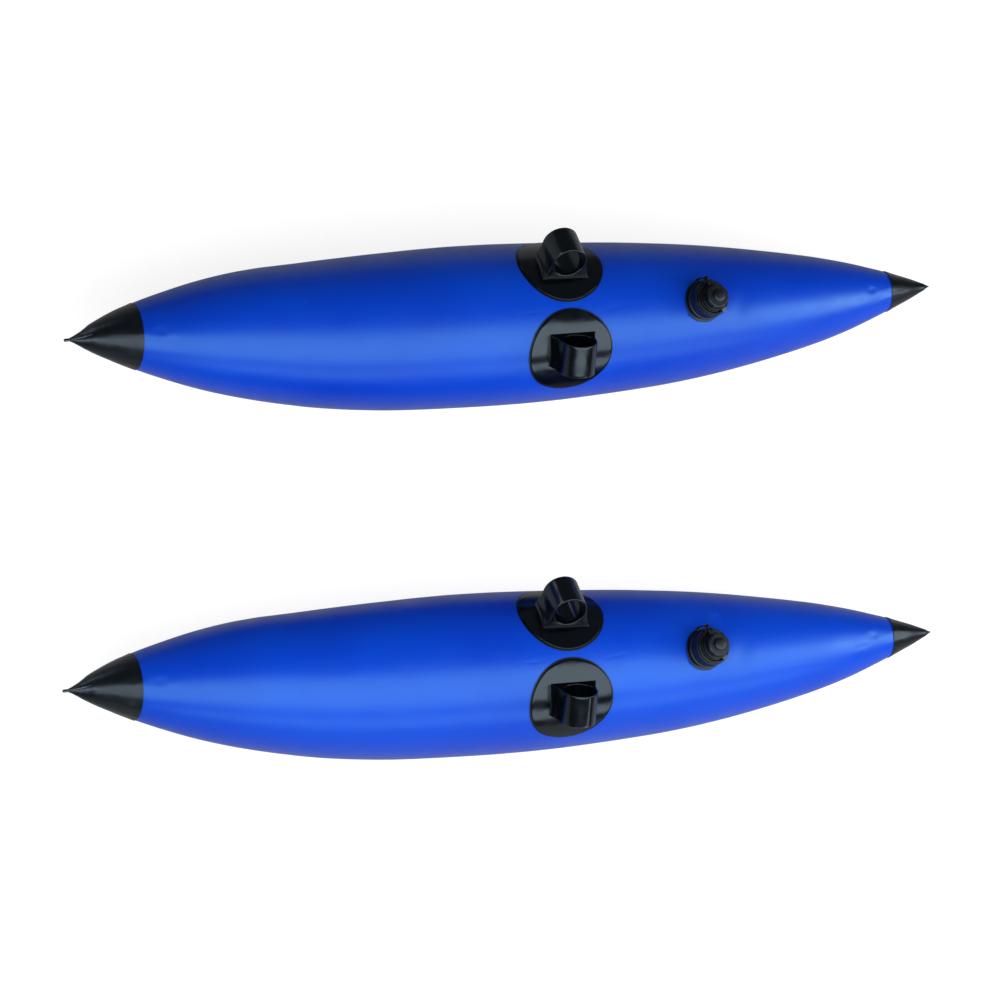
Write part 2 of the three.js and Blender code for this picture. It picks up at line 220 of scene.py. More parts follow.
corners = ((-1, -1), (1, -1), (1, 1), (-1, 1))
floor_mesh = bpy.data.meshes.new("floor")
floor_mesh.from_pydata(
    [(HALF_FLOOR * x, HALF_FLOOR * y, FLOOR_HEIGHT) for x, y in corners], [], [(0, 1, 2, 3)])
floor_mesh.materials.append(paper)
floor = new_object("floor", floor_mesh)
floor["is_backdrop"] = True

# %% Softboxes


def softbox(name, direction, distance, width, height, power, shift=0.0):
    """A flat lamp that looks at the pair from a direction, shifted towards the tails."""
    data = bpy.data.lights.new(name, "AREA")
    data.shape = "RECTANGLE"
    data.size = width
    data.size_y = height
    data.energy = power
    lamp = new_object(name, data)
    towards = Vector(direction).normalized()
    lamp.location = pair_middle + towards * distance + Vector((shift, 0, 0))
    lamp.rotation_euler = towards.to_track_quat("Z", "Y").to_euler()
    return lamp


softbox("key_softbox", (0, -0.53, 0.85), 2.2, 6.3, 1.9, 124, 0.95)
softbox("low_softbox", (0.2, -0.93, 0.24), 2.4, 3.2, 0.55, 16)
softbox("tail_softbox", (0.905, -0.12, 0.41), 2.2, 0.9, 0.8, 11)
softbox("nose_softbox", (-0.8, -0.2, 0.55), 2.2, 0.6, 0.5, 7)
softbox("side_softbox", (-0.66, 0.72, 0.22), 2.6, 0.9, 0.8, 5)
bpy.context.scene.view_settings.view_transform = "Standard"

# %% [markdown]
# The vinyl hull is a body of revolution that bows a little sideways. Its radius follows a rule:
# full in the middle, falling off with a power of the distance towards each join, and straight
# from the join to the tip under the cone. The same rule is written here for placing the
# fittings, and again in nodes, where it makes the sheets themselves.

# %% Sizes of one float
FLOAT_LENGTH = 1038 * MM
HULL_RADIUS = 90.3 * MM
WIDEST = -54 * MM
NOSE_JOIN = -439 * MM
TAIL_JOIN = 465 * MM
NOSE_JOIN_RADIUS = 37.7 * MM
TAIL_JOIN_RADIUS = 23.4 * MM
TIP_RADIUS = 2.2 * MM
NOSE_FULLNESS = 2.52
TAIL_FULLNESS = 2.55
HULL_BOW = 14.6 * MM
SHEET_WALL = 0.9 * MM

nose_tip_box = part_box("port_nose_tip")
tail_tip_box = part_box("port_tail_tip")
float_middle = (nose_tip_box[0] + nose_tip_box[1]) / 2
float_middle.x = (nose_tip_box[0].x + tail_tip_box[1].x) / 2
other_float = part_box("starboard_nose_tip")[0] - nose_tip_box[0]
print("port float's middle", tuple(round(v, 4) for v in float_middle))
print("starboard float is moved by", tuple(round(v, 4) for v in other_float))


def hull_radius(x):
    """Radius of the hull at a place along the float, counted from its middle."""
    join, join_radius, power = (
        (NOSE_JOIN, NOSE_JOIN_RADIUS, NOSE_FULLNESS) if x < WIDEST
        else (TAIL_JOIN, TAIL_JOIN_RADIUS, TAIL_FULLNESS))
    share = min(abs((x - WIDEST) / (join - WIDEST)), 1)
    body = join_radius + (HULL_RADIUS - join_radius) * (1 - share ** power)
    beyond = max(abs(x - WIDEST) - abs(join - WIDEST), 0)
    cone_length = FLOAT_LENGTH / 2 - abs(join)
    return body - beyond * (join_radius - TIP_RADIUS) / cone_length


def hull_bow(x):
    """Sideways place of the hull's centre line."""
    return -HULL_BOW * (1 - (2 * x / FLOAT_LENGTH) ** 2)


def on_hull(x, angle, lift):
    """A point over the hull, at an angle from the top towards +Y."""
    reach = hull_radius(x) + lift
    return float_middle + Vector((
        x, hull_bow(x) + reach * math.sin(angle), reach * math.cos(angle)))


print("radius at the fittings", round(hull_radius(0.05), 4), round(hull_radius(0.215), 4))

# %% [markdown]
# One node tree makes every sheet that lies on the hull: the blue skin, the keel tape and the
# cones are stretches of the same rule with other ends, angles and lift. A grid gives the two
# directions, along and around, and Set Position bends it. Inflated sheet is never quite true,
# so two curves along the float shift it: one changes the radius by up to 0.9 mm, the other the
# middle line by up to 2.9 mm. The tree also keeps both directions in metres as a UV map, so
# that creases can be drawn where they belong on either float.

# %% A node tree for sheets on the hull


def new_tree(name, inputs):
    """A geometry tree with named inputs, and the sockets that read them."""
    tree = bpy.data.node_groups.new(name, "GeometryNodeTree")
    for label, (kind, value) in inputs.items():
        socket = tree.interface.new_socket(name=label, in_out="INPUT", socket_type=kind)
        if value is not None:
            socket.default_value = value
    tree.interface.new_socket(name="Geometry", in_out="OUTPUT",
                              socket_type="NodeSocketGeometry")
    reader = tree.nodes.new("NodeGroupInput")
    return tree, {label: reader.outputs[label] for label in inputs}


def end_tree(tree, geometry, material):
    """Ends a tree in real geometry with its material."""
    real = add(tree, "GeometryNodeRealizeInstances")
    finish = add(tree, "GeometryNodeSetMaterial")
    out = add(tree, "NodeGroupOutput")
    wire(tree, (geometry, real.inputs["Geometry"]), (material, finish.inputs["Material"]),
         (real.outputs["Geometry"], finish.inputs["Geometry"]),
         (finish.outputs["Geometry"], out.inputs["Geometry"]))


LENGTH = "NodeSocketFloat"
COUNT = "NodeSocketInt"
MATERIAL = "NodeSocketMaterial"


def inputs_of(kind, values):
    """Inputs of one kind for a tree, with their usual values."""
    return {label: (kind, value) for label, value in values.items()}


sheet_inputs = inputs_of(LENGTH, {
    "Float length": FLOAT_LENGTH, "Widest place": WIDEST, "Hull radius": HULL_RADIUS,
    "Bow": HULL_BOW, "Nose join": NOSE_JOIN, "Tail join": TAIL_JOIN,
    "Nose join radius": NOSE_JOIN_RADIUS, "Tail join radius": TAIL_JOIN_RADIUS,
    "Tip radius": TIP_RADIUS, "Nose fullness": NOSE_FULLNESS, "Tail fullness": TAIL_FULLNESS,
    "Start": NOSE_JOIN, "Stop": TAIL_JOIN, "First angle": -math.pi, "Last angle": math.pi,
    "Lift": 0.0, "Lowest": -1.0, "Pucker depth": 0.0, "Pucker reach": 0.02,
    "Pucker count": 5.0, "Ripple depth": 0.0,
}) | inputs_of(COUNT, {"Steps along": 200, "Steps around": 120})
sheet_inputs["Material"] = (MATERIAL, None)
sheet_tree, read = new_tree("sheet_on_hull", sheet_inputs)


def calc(operation, *values):
    """One Math node in the sheet tree."""
    return figure(sheet_tree, operation, *values)


grid = add(sheet_tree, "GeometryNodeMeshGrid", Size_X=1, Size_Y=1)
parts = add(sheet_tree, "ShaderNodeSeparateXYZ")
wire(sheet_tree, (read["Steps along"], grid.inputs["Vertices X"]),
     (read["Steps around"], grid.inputs["Vertices Y"]),
     (add(sheet_tree, "GeometryNodeInputPosition").outputs[0], parts.inputs[0]))
even = calc("ADD", parts.outputs["X"], 0.5)
share = calc("MULTIPLY", calc("SUBTRACT", 1, calc("COSINE", calc("MULTIPLY", even, math.pi))), 0.5)
along = calc("MULTIPLY_ADD", share, calc("SUBTRACT", read["Stop"], read["Start"]), read["Start"])
angle = calc("MULTIPLY_ADD", calc("ADD", parts.outputs["Y"], 0.5),
             calc("SUBTRACT", read["Last angle"], read["First angle"]), read["First angle"])

# %% The rule of the radius, in nodes


def by_end(nose_value, tail_value):
    """Takes one value on the nose's side of the widest place and another on the tail's."""
    towards_tail = calc("GREATER_THAN", along, read["Widest place"])
    return calc("MULTIPLY_ADD", towards_tail, calc("SUBTRACT", tail_value, nose_value),
                nose_value)


join = by_end(read["Nose join"], read["Tail join"])
join_radius = by_end(read["Nose join radius"], read["Tail join radius"])
fullness = by_end(read["Nose fullness"], read["Tail fullness"])
from_widest = calc("ABSOLUTE", calc("SUBTRACT", along, read["Widest place"]))
join_distance = calc("ABSOLUTE", calc("SUBTRACT", join, read["Widest place"]))
to_join = calc("MINIMUM", calc("DIVIDE", from_widest, join_distance), 1)
bulge = calc("SUBTRACT", 1, calc("POWER", to_join, fullness))
body_radius = calc("MULTIPLY_ADD", bulge, calc("SUBTRACT", read["Hull radius"], join_radius),
                   join_radius)
half_length = calc("MULTIPLY", read["Float length"], 0.5)
cone_length = calc("SUBTRACT", half_length, calc("ABSOLUTE", join))
cone_slope = calc("DIVIDE", calc("SUBTRACT", join_radius, read["Tip radius"]), cone_length)
beyond = calc("MAXIMUM", calc("SUBTRACT", from_widest, join_distance), 0)
skin_radius = calc("SUBTRACT", body_radius, calc("MULTIPLY", beyond, cone_slope))

# %% Puckers by the joins and slow ripples, in nodes


def soft_noise(vector, scale, detail):
    """Noise from 0 to 1 at a vector."""
    node = add(sheet_tree, "ShaderNodeTexNoise", Scale=scale, Detail=detail)
    wire(sheet_tree, (vector, node.inputs["Vector"]))
    return node.outputs["Fac"]


PUCKER_PITCH = 34
RIPPLE_PITCH = 7
RIPPLE_COUNT = 1.1
around_y = calc("SINE", angle)
around_z = calc("COSINE", angle)
to_nose = calc("ABSOLUTE", calc("SUBTRACT", along, read["Nose join"]))
to_tail = calc("ABSOLUTE", calc("SUBTRACT", along, read["Tail join"]))
fading = calc("EXPONENT", calc("DIVIDE", calc("MULTIPLY", calc("MINIMUM", to_nose, to_tail), -1),
                               read["Pucker reach"]))
pucker_spot = point_of(sheet_tree, calc("MULTIPLY", along, PUCKER_PITCH),
                       calc("MULTIPLY", around_y, read["Pucker count"]),
                       calc("MULTIPLY", around_z, read["Pucker count"]))
pucker = calc("MULTIPLY", calc("MULTIPLY", soft_noise(pucker_spot, 1.0, 1.0), fading),
              read["Pucker depth"])
ripple_spot = point_of(sheet_tree, calc("MULTIPLY", along, RIPPLE_PITCH),
                       calc("MULTIPLY", around_y, RIPPLE_COUNT),
                       calc("MULTIPLY", around_z, RIPPLE_COUNT))
ripple = calc("MULTIPLY", soft_noise(ripple_spot, 1.0, 0.5), read["Ripple depth"])
dents = calc("ADD", pucker, ripple)

# %% Swell and sway of the real float, in nodes
SWELL = ((-520, 0), (-478, 0.4), (-462, 0.8), (-446, 0.2), (-420, 0.0), (-345, 0.6), (-293, 0.1),
         (-225, -0.9), (-140, -0.3), (-92, 0.4), (-30, 0.9), (10, 0.7), (60, 0.1), (132, -0.6),
         (215, -0.5), (300, -0.45), (350, 0.1), (400, 0.7), (432, 0.4), (465, -0.2), (520, 0))
SWAY = ((-520, -2.9), (-512, -2.1), (-501, -1.8), (-491, -0.6), (-478, 0.1), (-462, 0.8),
        (-432, 1.2), (-355, 1.2), (-293, 0.5), (-263, -0.4), (-200, -1.4), (-154, -1.2),
        (-92, -0.1), (-30, 0.6), (50, 0.5), (132, 0.5), (195, 0.0), (384, 0.1), (458, 0.9),
        (520, 1.1))
CURVE_SPAN = 520
CURVE_REACH = 3


def along_float(points):
    """A smooth length along the float, from (place, value) pairs in millimetres."""
    node = add(sheet_tree, "ShaderNodeFloatCurve")
    spots = [(0.5 + place / (2 * CURVE_SPAN), 0.5 + value / (2 * CURVE_REACH))
             for place, value in points]
    curve = node.mapping.curves[0]
    curve.points[0].location = spots[0]
    curve.points[1].location = spots[-1]
    for spot in spots[1:-1]:
        curve.points.new(*spot)
    node.mapping.update()
    wire(sheet_tree, (calc("MULTIPLY_ADD", along, 0.5 / (CURVE_SPAN * MM), 0.5),
                      node.inputs["Value"]))
    return calc("MULTIPLY", calc("SUBTRACT", node.outputs[0], 0.5), 2 * CURVE_REACH * MM)


def listed(points, place):
    """The value of a list of (place, value) pairs at a place."""
    for (near, low), (far, high) in zip(points, points[1:]):
        if place <= far:
            return low + (high - low) * (place - near) / (far - near)
    return points[-1][1]


true_radius = calc("ADD", skin_radius, along_float(SWELL))
reach = calc("SUBTRACT", calc("ADD", true_radius, read["Lift"]), dents)

# %% Position, seam and UV map of the sheet
SEAM_GAP = 1e-6
bow_share = calc("POWER", calc("ABSOLUTE", calc("DIVIDE", along, half_length)), 2)
bow = calc("MULTIPLY_ADD", calc("SUBTRACT", bow_share, 1), read["Bow"], along_float(SWAY))
target = point_of(
    sheet_tree, along, calc("MULTIPLY_ADD", reach, around_y, bow),
    calc("MAXIMUM", calc("MULTIPLY", reach, around_z), read["Lowest"]))
uv_value = point_of(sheet_tree, along, calc("MULTIPLY", angle, read["Hull radius"]), 0)
keep_uv = add(sheet_tree, "GeometryNodeStoreNamedAttribute", data_type="FLOAT2",
              domain="CORNER", Name="skin")
bend = add(sheet_tree, "GeometryNodeSetPosition")
seam = add(sheet_tree, "GeometryNodeMergeByDistance", Distance=SEAM_GAP)
smooth = add(sheet_tree, "GeometryNodeSetShadeSmooth")
wire(sheet_tree, (grid.outputs["Mesh"], keep_uv.inputs["Geometry"]),
     (uv_value, keep_uv.inputs["Value"]), (target, bend.inputs["Position"]),
     (keep_uv.outputs["Geometry"], bend.inputs["Geometry"]),
     (bend.outputs["Geometry"], seam.inputs["Geometry"]),
     (seam.outputs["Geometry"], smooth.inputs["Geometry"]))
end_tree(sheet_tree, smooth.outputs["Geometry"], read["Material"])
print("sheet tree has", len(sheet_tree.nodes), "nodes")

# %% Making a piece from a tree


def settle(piece):
    """Replaces a piece's mesh by its evaluated one and takes its modifiers off."""
    shown = piece.evaluated_get(bpy.context.evaluated_depsgraph_get())
    mesh = bpy.data.meshes.new_from_object(shown)
    mesh.name = piece.name
    piece.modifiers.clear()
    piece.data = mesh
    return piece


def grown(name, tree, **sizes):
    """A piece made by a tree, with its sizes set by the sockets' identifiers."""
    piece = new_object(name, bpy.data.meshes.new(name))
    modifier = piece.modifiers.new("nodes", "NODES")
    modifier.node_group = tree
    wanted = {label.replace("_", " "): value for label, value in sizes.items()}
    for socket in tree.interface.items_tree:
        if socket.in_out == "INPUT" and socket.name in wanted:
            modifier[socket.identifier] = wanted.pop(socket.name)
    assert not wanted, wanted
    return piece


def walled(piece, wall, edge=0.0):
    """Gives a sheet its thickness inwards, with softened edges."""
    shell = piece.modifiers.new("wall", "SOLIDIFY")
    shell.thickness = wall
    shell.offset = -1
    if edge:
        round_off = piece.modifiers.new("edge", "BEVEL")
        round_off.width = edge
        round_off.segments = 2
        round_off.limit_method = "ANGLE"
        round_off.angle_limit = math.radians(50)
    return settle(piece)


def moved(piece, offset):
    """Moves a piece's points, so that its object stays at the origin."""
    piece.data.transform(Matrix.Translation(offset))
    piece.data.update()
    return piece

# %% [markdown]
# Coated vinyl has a dense even colour and a soft sheen. What makes it read as vinyl is small:
# a very fine grain, slow changes of gloss, a few rubbed spots and short creases where the
# sheet was heated to weld the fittings on. The grain and the changes come from noise in
# object space, and the creases are drawn on the sheet's own map, at their real places.

# %% Helpers for finishes


def grain_noise(tree, scale, detail=2.0, rough=0.5):
    """Noise in object space, from 0 to 1."""
    spot = add(tree, "ShaderNodeTexCoord")
    node = add(tree, "ShaderNodeTexNoise", Scale=scale, Detail=detail, Roughness=rough)
    wire(tree, (spot.outputs["Object"], node.inputs["Vector"]))
    return node.outputs["Fac"]


def spread(tree, value, low, high, first=0.0, last=1.0):
    """Maps a value from one span to another, and keeps it inside."""
    node = add(tree, "ShaderNodeMapRange", From_Min=low, From_Max=high, To_Min=first, To_Max=last)
    wire(tree, (value, node.inputs["Value"]))
    return node.outputs["Result"]


def two_tone(tree, share, first, second):
    """Mixes two colours by a share. The first may be a socket."""
    node = add(tree, "ShaderNodeMix", data_type="RGBA")
    share_in, first_in, second_in = (node.inputs[i] for i in (0, 6, 7))
    wire(tree, (share, share_in))
    if isinstance(first, tuple):
        first_in.default_value = (*first, 1)
    else:
        wire(tree, (first, first_in))
    second_in.default_value = (*second, 1)
    return node.outputs[2]


def bumped(tree, shader, layers):
    """Chains bumps, from the largest to the finest, into the shader's normal."""
    last = None
    for height, distance, strength in layers:
        node = add(tree, "ShaderNodeBump", Strength=strength, Distance=distance)
        wire(tree, (height, node.inputs["Height"]))
        if last is not None:
            wire(tree, (last, node.inputs["Normal"]))
        last = node.outputs["Normal"]
    wire(tree, (last, shader.inputs["Normal"]))


# %% Creases of the sheet
CREASES = (
    (4, -7, 3, 9, 1.8, 0.35), (107, -6, 9, 13, 2.6, 0.35), (158, 33, 9, 3.5, 0.7, -0.9),
    (262, -14, 78, 26, 11, 2.2), (182, -4, 84, 24, 10, 1.6), (437, -6, 0, 6, 13, 2.0),
    (420, -30, 10, 9, 7, 0.8), (-420, -6, 0, 7, 12, 1.4), (-410, -30, -9, 9, 9, 1.0),
    (-300, -34, 14, 12, 1.5, 0.2), (330, -40, -6, 14, 1.6, 0.2),
)


def crease_height(tree):
    """Sum of grooves and soft dishes, each with a length, a width and a depth."""
    spot = add(tree, "ShaderNodeUVMap", uv_map="skin")
    total = None
    for along_mm, around_mm, tilt, long_mm, wide_mm, depth in CREASES:
        local = add(tree, "ShaderNodeMapping", vector_type="TEXTURE",
                    Location=(along_mm * MM, around_mm * MM, 0),
                    Rotation=(0, 0, math.radians(tilt)), Scale=(long_mm * MM, wide_mm * MM, 1))
        away = add(tree, "ShaderNodeVectorMath", operation="DOT_PRODUCT")
        wire(tree, (spot.outputs["UV"], local.inputs["Vector"]),
             (local.outputs[0], away.inputs[0]), (local.outputs[0], away.inputs[1]))
        fade = figure(tree, "EXPONENT", figure(tree, "MULTIPLY", away.outputs["Value"], -1))
        groove = figure(tree, "MULTIPLY", fade, depth)
        total = groove if total is None else figure(tree, "ADD", total, groove)
    return figure(tree, "MULTIPLY", total, -1)


# %% Blue vinyl
vinyl, tree, shader = new_material("blue_vinyl", Specular_Tint=(0.42, 1.0, 0.85, 1),
                                   Specular_IOR_Level=0.50)
slow = grain_noise(tree, 5.0, 3.0)
patchy = grain_noise(tree, 38.0, 4.0, 0.6)
rubbed = spread(tree, grain_noise(tree, 17.0, 6.0, 0.72), 0.66, 0.76)
tone = two_tone(tree, spread(tree, slow, 0.35, 0.65), (0.0, 0.031, 0.440), (0.0, 0.045, 0.510))
worn = two_tone(tree, figure(tree, "MULTIPLY", rubbed, 0.35), tone, (0.006, 0.100, 0.74))
gloss = spread(tree, patchy, 0.3, 0.7, 0.31, 0.39)
wire(tree, (worn, shader.inputs["Base Color"]),
     (figure(tree, "MULTIPLY_ADD", rubbed, 0.12, gloss), shader.inputs["Roughness"]))
bumped(tree, shader, (
    (crease_height(tree), 0.5 * MM, 0.8),
    (grain_noise(tree, 260.0, 2.0), 0.05 * MM, 0.25),
    (grain_noise(tree, 1500.0, 2.0), 0.02 * MM, 0.3),
))

# %% [markdown]
# The cones are a heavier black vinyl with a satin face. The sockets and the valve are moulded
# plastic: the sockets came out of a polished mould, so they show the softbox sharply, and only
# a slow unevenness of their surface breaks its outline. Black needs very little base colour,
# because most of what the eye sees of it is reflection.

# %% Black finishes
COOL = (0.66, 0.83, 1.0, 1)


def black_finish(name, dark, light, rough, uneven, grain, level=0.5):
    """A black material: base tones, roughness span, slow unevenness and fine grain."""
    material, tree, shader = new_material(name, Specular_Tint=COOL, Specular_IOR_Level=level)
    worn = spread(tree, grain_noise(tree, 60.0, 5.0, 0.65), 0.55, 0.8)
    smear = spread(tree, grain_noise(tree, 90.0, 3.0), 0.3, 0.7, *rough)
    wire(tree, (two_tone(tree, worn, dark, light), shader.inputs["Base Color"]),
         (smear, shader.inputs["Roughness"]))
    slow_scale, slow_depth = uneven
    grain_scale, grain_depth = grain
    bumped(tree, shader, (
        (grain_noise(tree, slow_scale, 1.0), slow_depth * MM, 1.0),
        (grain_noise(tree, grain_scale, 2.0), grain_depth * MM, 0.5),
    ))
    return material


cone_vinyl = black_finish("black_vinyl", (0.0014, 0.0022, 0.0030), (0.005, 0.007, 0.009),
                          (0.27, 0.35), (40, 0.5), (1400, 0.02), 0.42)
weld_vinyl = black_finish("weld_black", (0.0012, 0.0014, 0.0018), (0.006, 0.007, 0.008),
                          (0.38, 0.5), (60, 0.3), (900, 0.06), 0.4)
bead_vinyl = black_finish("weld_bead", (0.0015, 0.0018, 0.0022), (0.006, 0.007, 0.008),
                          (0.14, 0.22), (90, 0.2), (900, 0.02), 0.9)
socket_black = black_finish("gloss_black", (0.0008, 0.0014, 0.0022), (0.003, 0.005, 0.006),
                            (0.12, 0.20), (36, 0.5), (700, 0.01), 0.5)
valve_black = black_finish("valve_black", (0.0010, 0.0013, 0.0018), (0.005, 0.006, 0.007),
                           (0.34, 0.46), (80, 0.15), (1100, 0.02), 0.46)
strap_black = black_finish("strap_black", (0.0012, 0.0014, 0.0018), (0.006, 0.006, 0.007),
                           (0.24, 0.36), (120, 0.1), (1300, 0.02), 0.5)
seal_rubber = black_finish("seal_rubber", (0.020, 0.022, 0.024), (0.035, 0.037, 0.040),
                           (0.55, 0.7), (200, 0.05), (1600, 0.03), 0.4)

silicone, tree, shader = new_material("silicone", Roughness=0.35)
cloudy = spread(tree, grain_noise(tree, 140.0, 3.0), 0.3, 0.7)
wire(tree, (two_tone(tree, cloudy, (0.40, 0.44, 0.46), (0.52, 0.55, 0.57)),
            shader.inputs["Base Color"]))
bumped(tree, shader, ((grain_noise(tree, 700.0, 2.0), 0.03 * MM, 0.4),))
print("finishes", [m.name for m in bpy.data.materials])

# %% [markdown]
# Now the sheets. The blue skin runs on for a short way under both cones, as the real one does
# where it is welded to them, and gets its real wall. It needs a hole under the valve. Faces
# inside a circle are taken out, and the rim that they leave is drawn onto the circle.

# %% Blue skin
CONE_LAP = 24 * MM
SEAT_GAP = 0.3 * MM
PUCKERS = {"Pucker_depth": 1.3 * MM, "Pucker_reach": 0.022, "Pucker_count": 3.0}
skin = grown("port_hull_skin", sheet_tree, Start=NOSE_JOIN - CONE_LAP, Stop=TAIL_JOIN + CONE_LAP,
             Ripple_depth=0.5 * MM, Steps_along=251, Steps_around=145, Material=vinyl, **PUCKERS)
settle(moved(settle(skin), float_middle))

VALVE_PLACE = 215 * MM
VALVE_ANGLE = -4.5 * MM / hull_radius(VALVE_PLACE)
NECK_HOLE = 18 * MM
HOLE_DEPTH = 0.03
slope = (hull_radius(VALVE_PLACE + 1e-3) - hull_radius(VALVE_PLACE - 1e-3)) / 2e-3


def fitting_frame(x, angle, lean=0.0):
    """The frame of a fitting: its z axis points out of the hull, its x axis along it."""
    return (Matrix.Translation(float_middle + Vector((x, hull_bow(x), 0)))
            @ Matrix.Rotation(-angle, 4, "X")
            @ Matrix.Translation((0, 0, hull_radius(x)))
            @ Matrix.Rotation(lean, 4, "Y"))


valve_frame = fitting_frame(VALVE_PLACE, VALVE_ANGLE, math.atan(-slope))
to_valve = valve_frame.inverted()


def cut_round_hole(piece, inverse, radius):
    """Takes out the faces inside a round hole and puts the rim on its circle."""
    mesh = bmesh.new()
    mesh.from_mesh(piece.data)
    doomed = []
    for face in mesh.faces:
        spot = inverse @ face.calc_center_median()
        if spot.z > -HOLE_DEPTH and math.hypot(spot.x, spot.y) < radius:
            doomed.append(face)
    bmesh.ops.delete(mesh, geom=doomed, context="FACES")
    for edge in mesh.edges:
        if not edge.is_boundary:
            continue
        for point in edge.verts:
            spot = inverse @ point.co
            distance = math.hypot(spot.x, spot.y)
            if spot.z > -HOLE_DEPTH and distance < 2 * radius:
                grow = radius / distance
                point.co = inverse.inverted() @ Vector((spot.x * grow, spot.y * grow, spot.z))
    mesh.to_mesh(piece.data)
    mesh.free()
    return len(doomed)


print("faces cut for the valve", cut_round_hole(skin, to_valve, NECK_HOLE))
walled(skin, SHEET_WALL)

# %% Keel tape and cones
TAPE_HALF_ANGLE = 13 * MM / HULL_RADIUS
TAPE_WALL = 1.2 * MM
TAPE_EDGE = 0.35 * MM
TAPE_LIFT = 1.5 * MM
tape = grown("port_keel_tape", sheet_tree, Start=NOSE_JOIN + SEAT_GAP, Stop=TAIL_JOIN - SEAT_GAP,
             First_angle=math.pi - TAPE_HALF_ANGLE, Last_angle=math.pi + TAPE_HALF_ANGLE,
             Lift=TAPE_LIFT, Lowest=-float_middle.z, Steps_along=240, Steps_around=15,
             Material=vinyl)
walled(moved(settle(tape), float_middle), TAPE_WALL, TAPE_EDGE)

CONE_LIFT = 0.6 * MM
CONE_WALL = 0.42 * MM
NOSE_CAP_END = -514 * MM
TAIL_CAP_END = 518 * MM


def cone_sheet(name, start, stop, along, around):
    """The sheet of one cone, still straight and without its wall."""
    return settle(grown(name, sheet_tree, Start=start, Stop=stop, Lift=CONE_LIFT,
                        Steps_along=along, Steps_around=around, Material=cone_vinyl, **PUCKERS))


nose_cone = cone_sheet("port_nose_cap", NOSE_CAP_END, NOSE_JOIN, 70, 145)
tail_cone = cone_sheet("port_tail_cap", TAIL_JOIN, TAIL_CAP_END, 56, 121)
print("cone points", len(nose_cone.data.vertices), len(tail_cone.data.vertices))

# %% [markdown]
# A cone is rolled from a flat piece and its tip is pinched shut and welded. So it isn't quite
# straight: it draws in towards a thin end, the nose's more than the tail's. A short list of
# shares gives each cone's real outline, and the points are drawn in to it, with the tip a
# little flattened. The little nub at the very end of the nose is the weld itself.

# %% Pinched cone ends
NOSE_DRAW = ((0, 0.5), (4, 0.42), (7.5, 0.52), (11, 0.65), (14, 0.74), (18, 0.81), (21, 0.88),
             (25, 0.935), (28, 0.975), (33, 1.0), (41, 1.01), (50, 1.0), (80, 1.0))
TAIL_DRAW = ((0, 0.22), (2, 0.3), (7, 0.74), (12, 0.83), (17, 0.90), (23, 0.95), (32, 0.965),
             (44, 0.98), (54, 1.0))
FLAT_REACH = 30 * MM
FLATTENING = 0.25
CONE_EDGE = 0.2 * MM


def middle_line(x):
    """The sideways place of the real middle line."""
    return hull_bow(x) + listed(SWAY, x / MM) * MM


def flatness(distance):
    """How much of its height a cone keeps at a distance from its tip."""
    return 1 - FLATTENING * max(1 - distance / FLAT_REACH, 0)


def pinch(piece, end, draw):
    """Draws a settled cone in towards its tip."""
    for point in piece.data.vertices:
        distance = abs(point.co.x - end)
        share = listed(draw, distance / MM)
        middle = middle_line(point.co.x)
        point.co.y = middle + (point.co.y - middle) * share
        point.co.z *= share * flatness(distance)
    return moved(piece, float_middle)


walled(pinch(nose_cone, -FLOAT_LENGTH / 2, NOSE_DRAW), CONE_WALL, CONE_EDGE)
walled(pinch(tail_cone, FLOAT_LENGTH / 2, TAIL_DRAW), CONE_WALL, CONE_EDGE)

# %% Helpers for closed rings of points


def full_turn(count):
    """Even angles once round."""
    return [2 * math.pi * k / count for k in range(count)]


def lofted(name, rings, material, closed=False, cap_start=True, cap_end=True, sharp=38):
    """Joins rings of points, all with the same count, into one closed skin."""
    mesh = bmesh.new()
    loops = [[mesh.verts.new(point) for point in ring] for ring in rings]
    count = len(loops[0])
    pairs = list(zip(loops, loops[1:]))
    if closed:
        pairs.append((loops[-1], loops[0]))
    for first, second in pairs:
        for i in range(count):
            j = (i + 1) % count
            mesh.faces.new((first[i], first[j], second[j], second[i]))
    if cap_start and not closed:
        mesh.faces.new(list(reversed(loops[0])))
    if cap_end and not closed:
        mesh.faces.new(loops[-1])
    bmesh.ops.recalc_face_normals(mesh, faces=mesh.faces)
    data = bpy.data.meshes.new(name)
    mesh.to_mesh(data)
    mesh.free()
    data.polygons.foreach_set("use_smooth", [True] * len(data.polygons))
    data.set_sharp_from_angle(angle=math.radians(sharp))
    data.materials.append(material)
    return new_object(name, data)


def joined(name, pieces):
    """Makes one object of several that ride together."""
    mesh = bmesh.new()
    for piece in pieces:
        mesh.from_mesh(piece.data)
    data = pieces[0].data.copy()
    data.name = name
    mesh.to_mesh(data)
    mesh.free()
    whole = new_object(name, data)
    for piece in pieces:
        bpy.data.objects.remove(piece)
    return whole


# %% Welded nubs
NUB_LENGTH = 13 * MM
NUB_STEPS = 24
NUB_ROUND_END = 0.1
NUB_TAPER = 0.45
WELD_RIPPLE, WELD_PITCH = 0.07, 34
BEAD_START, BEAD_LENGTH = 5, 22
NOSE_NUB_PROUD = 2.6 * MM


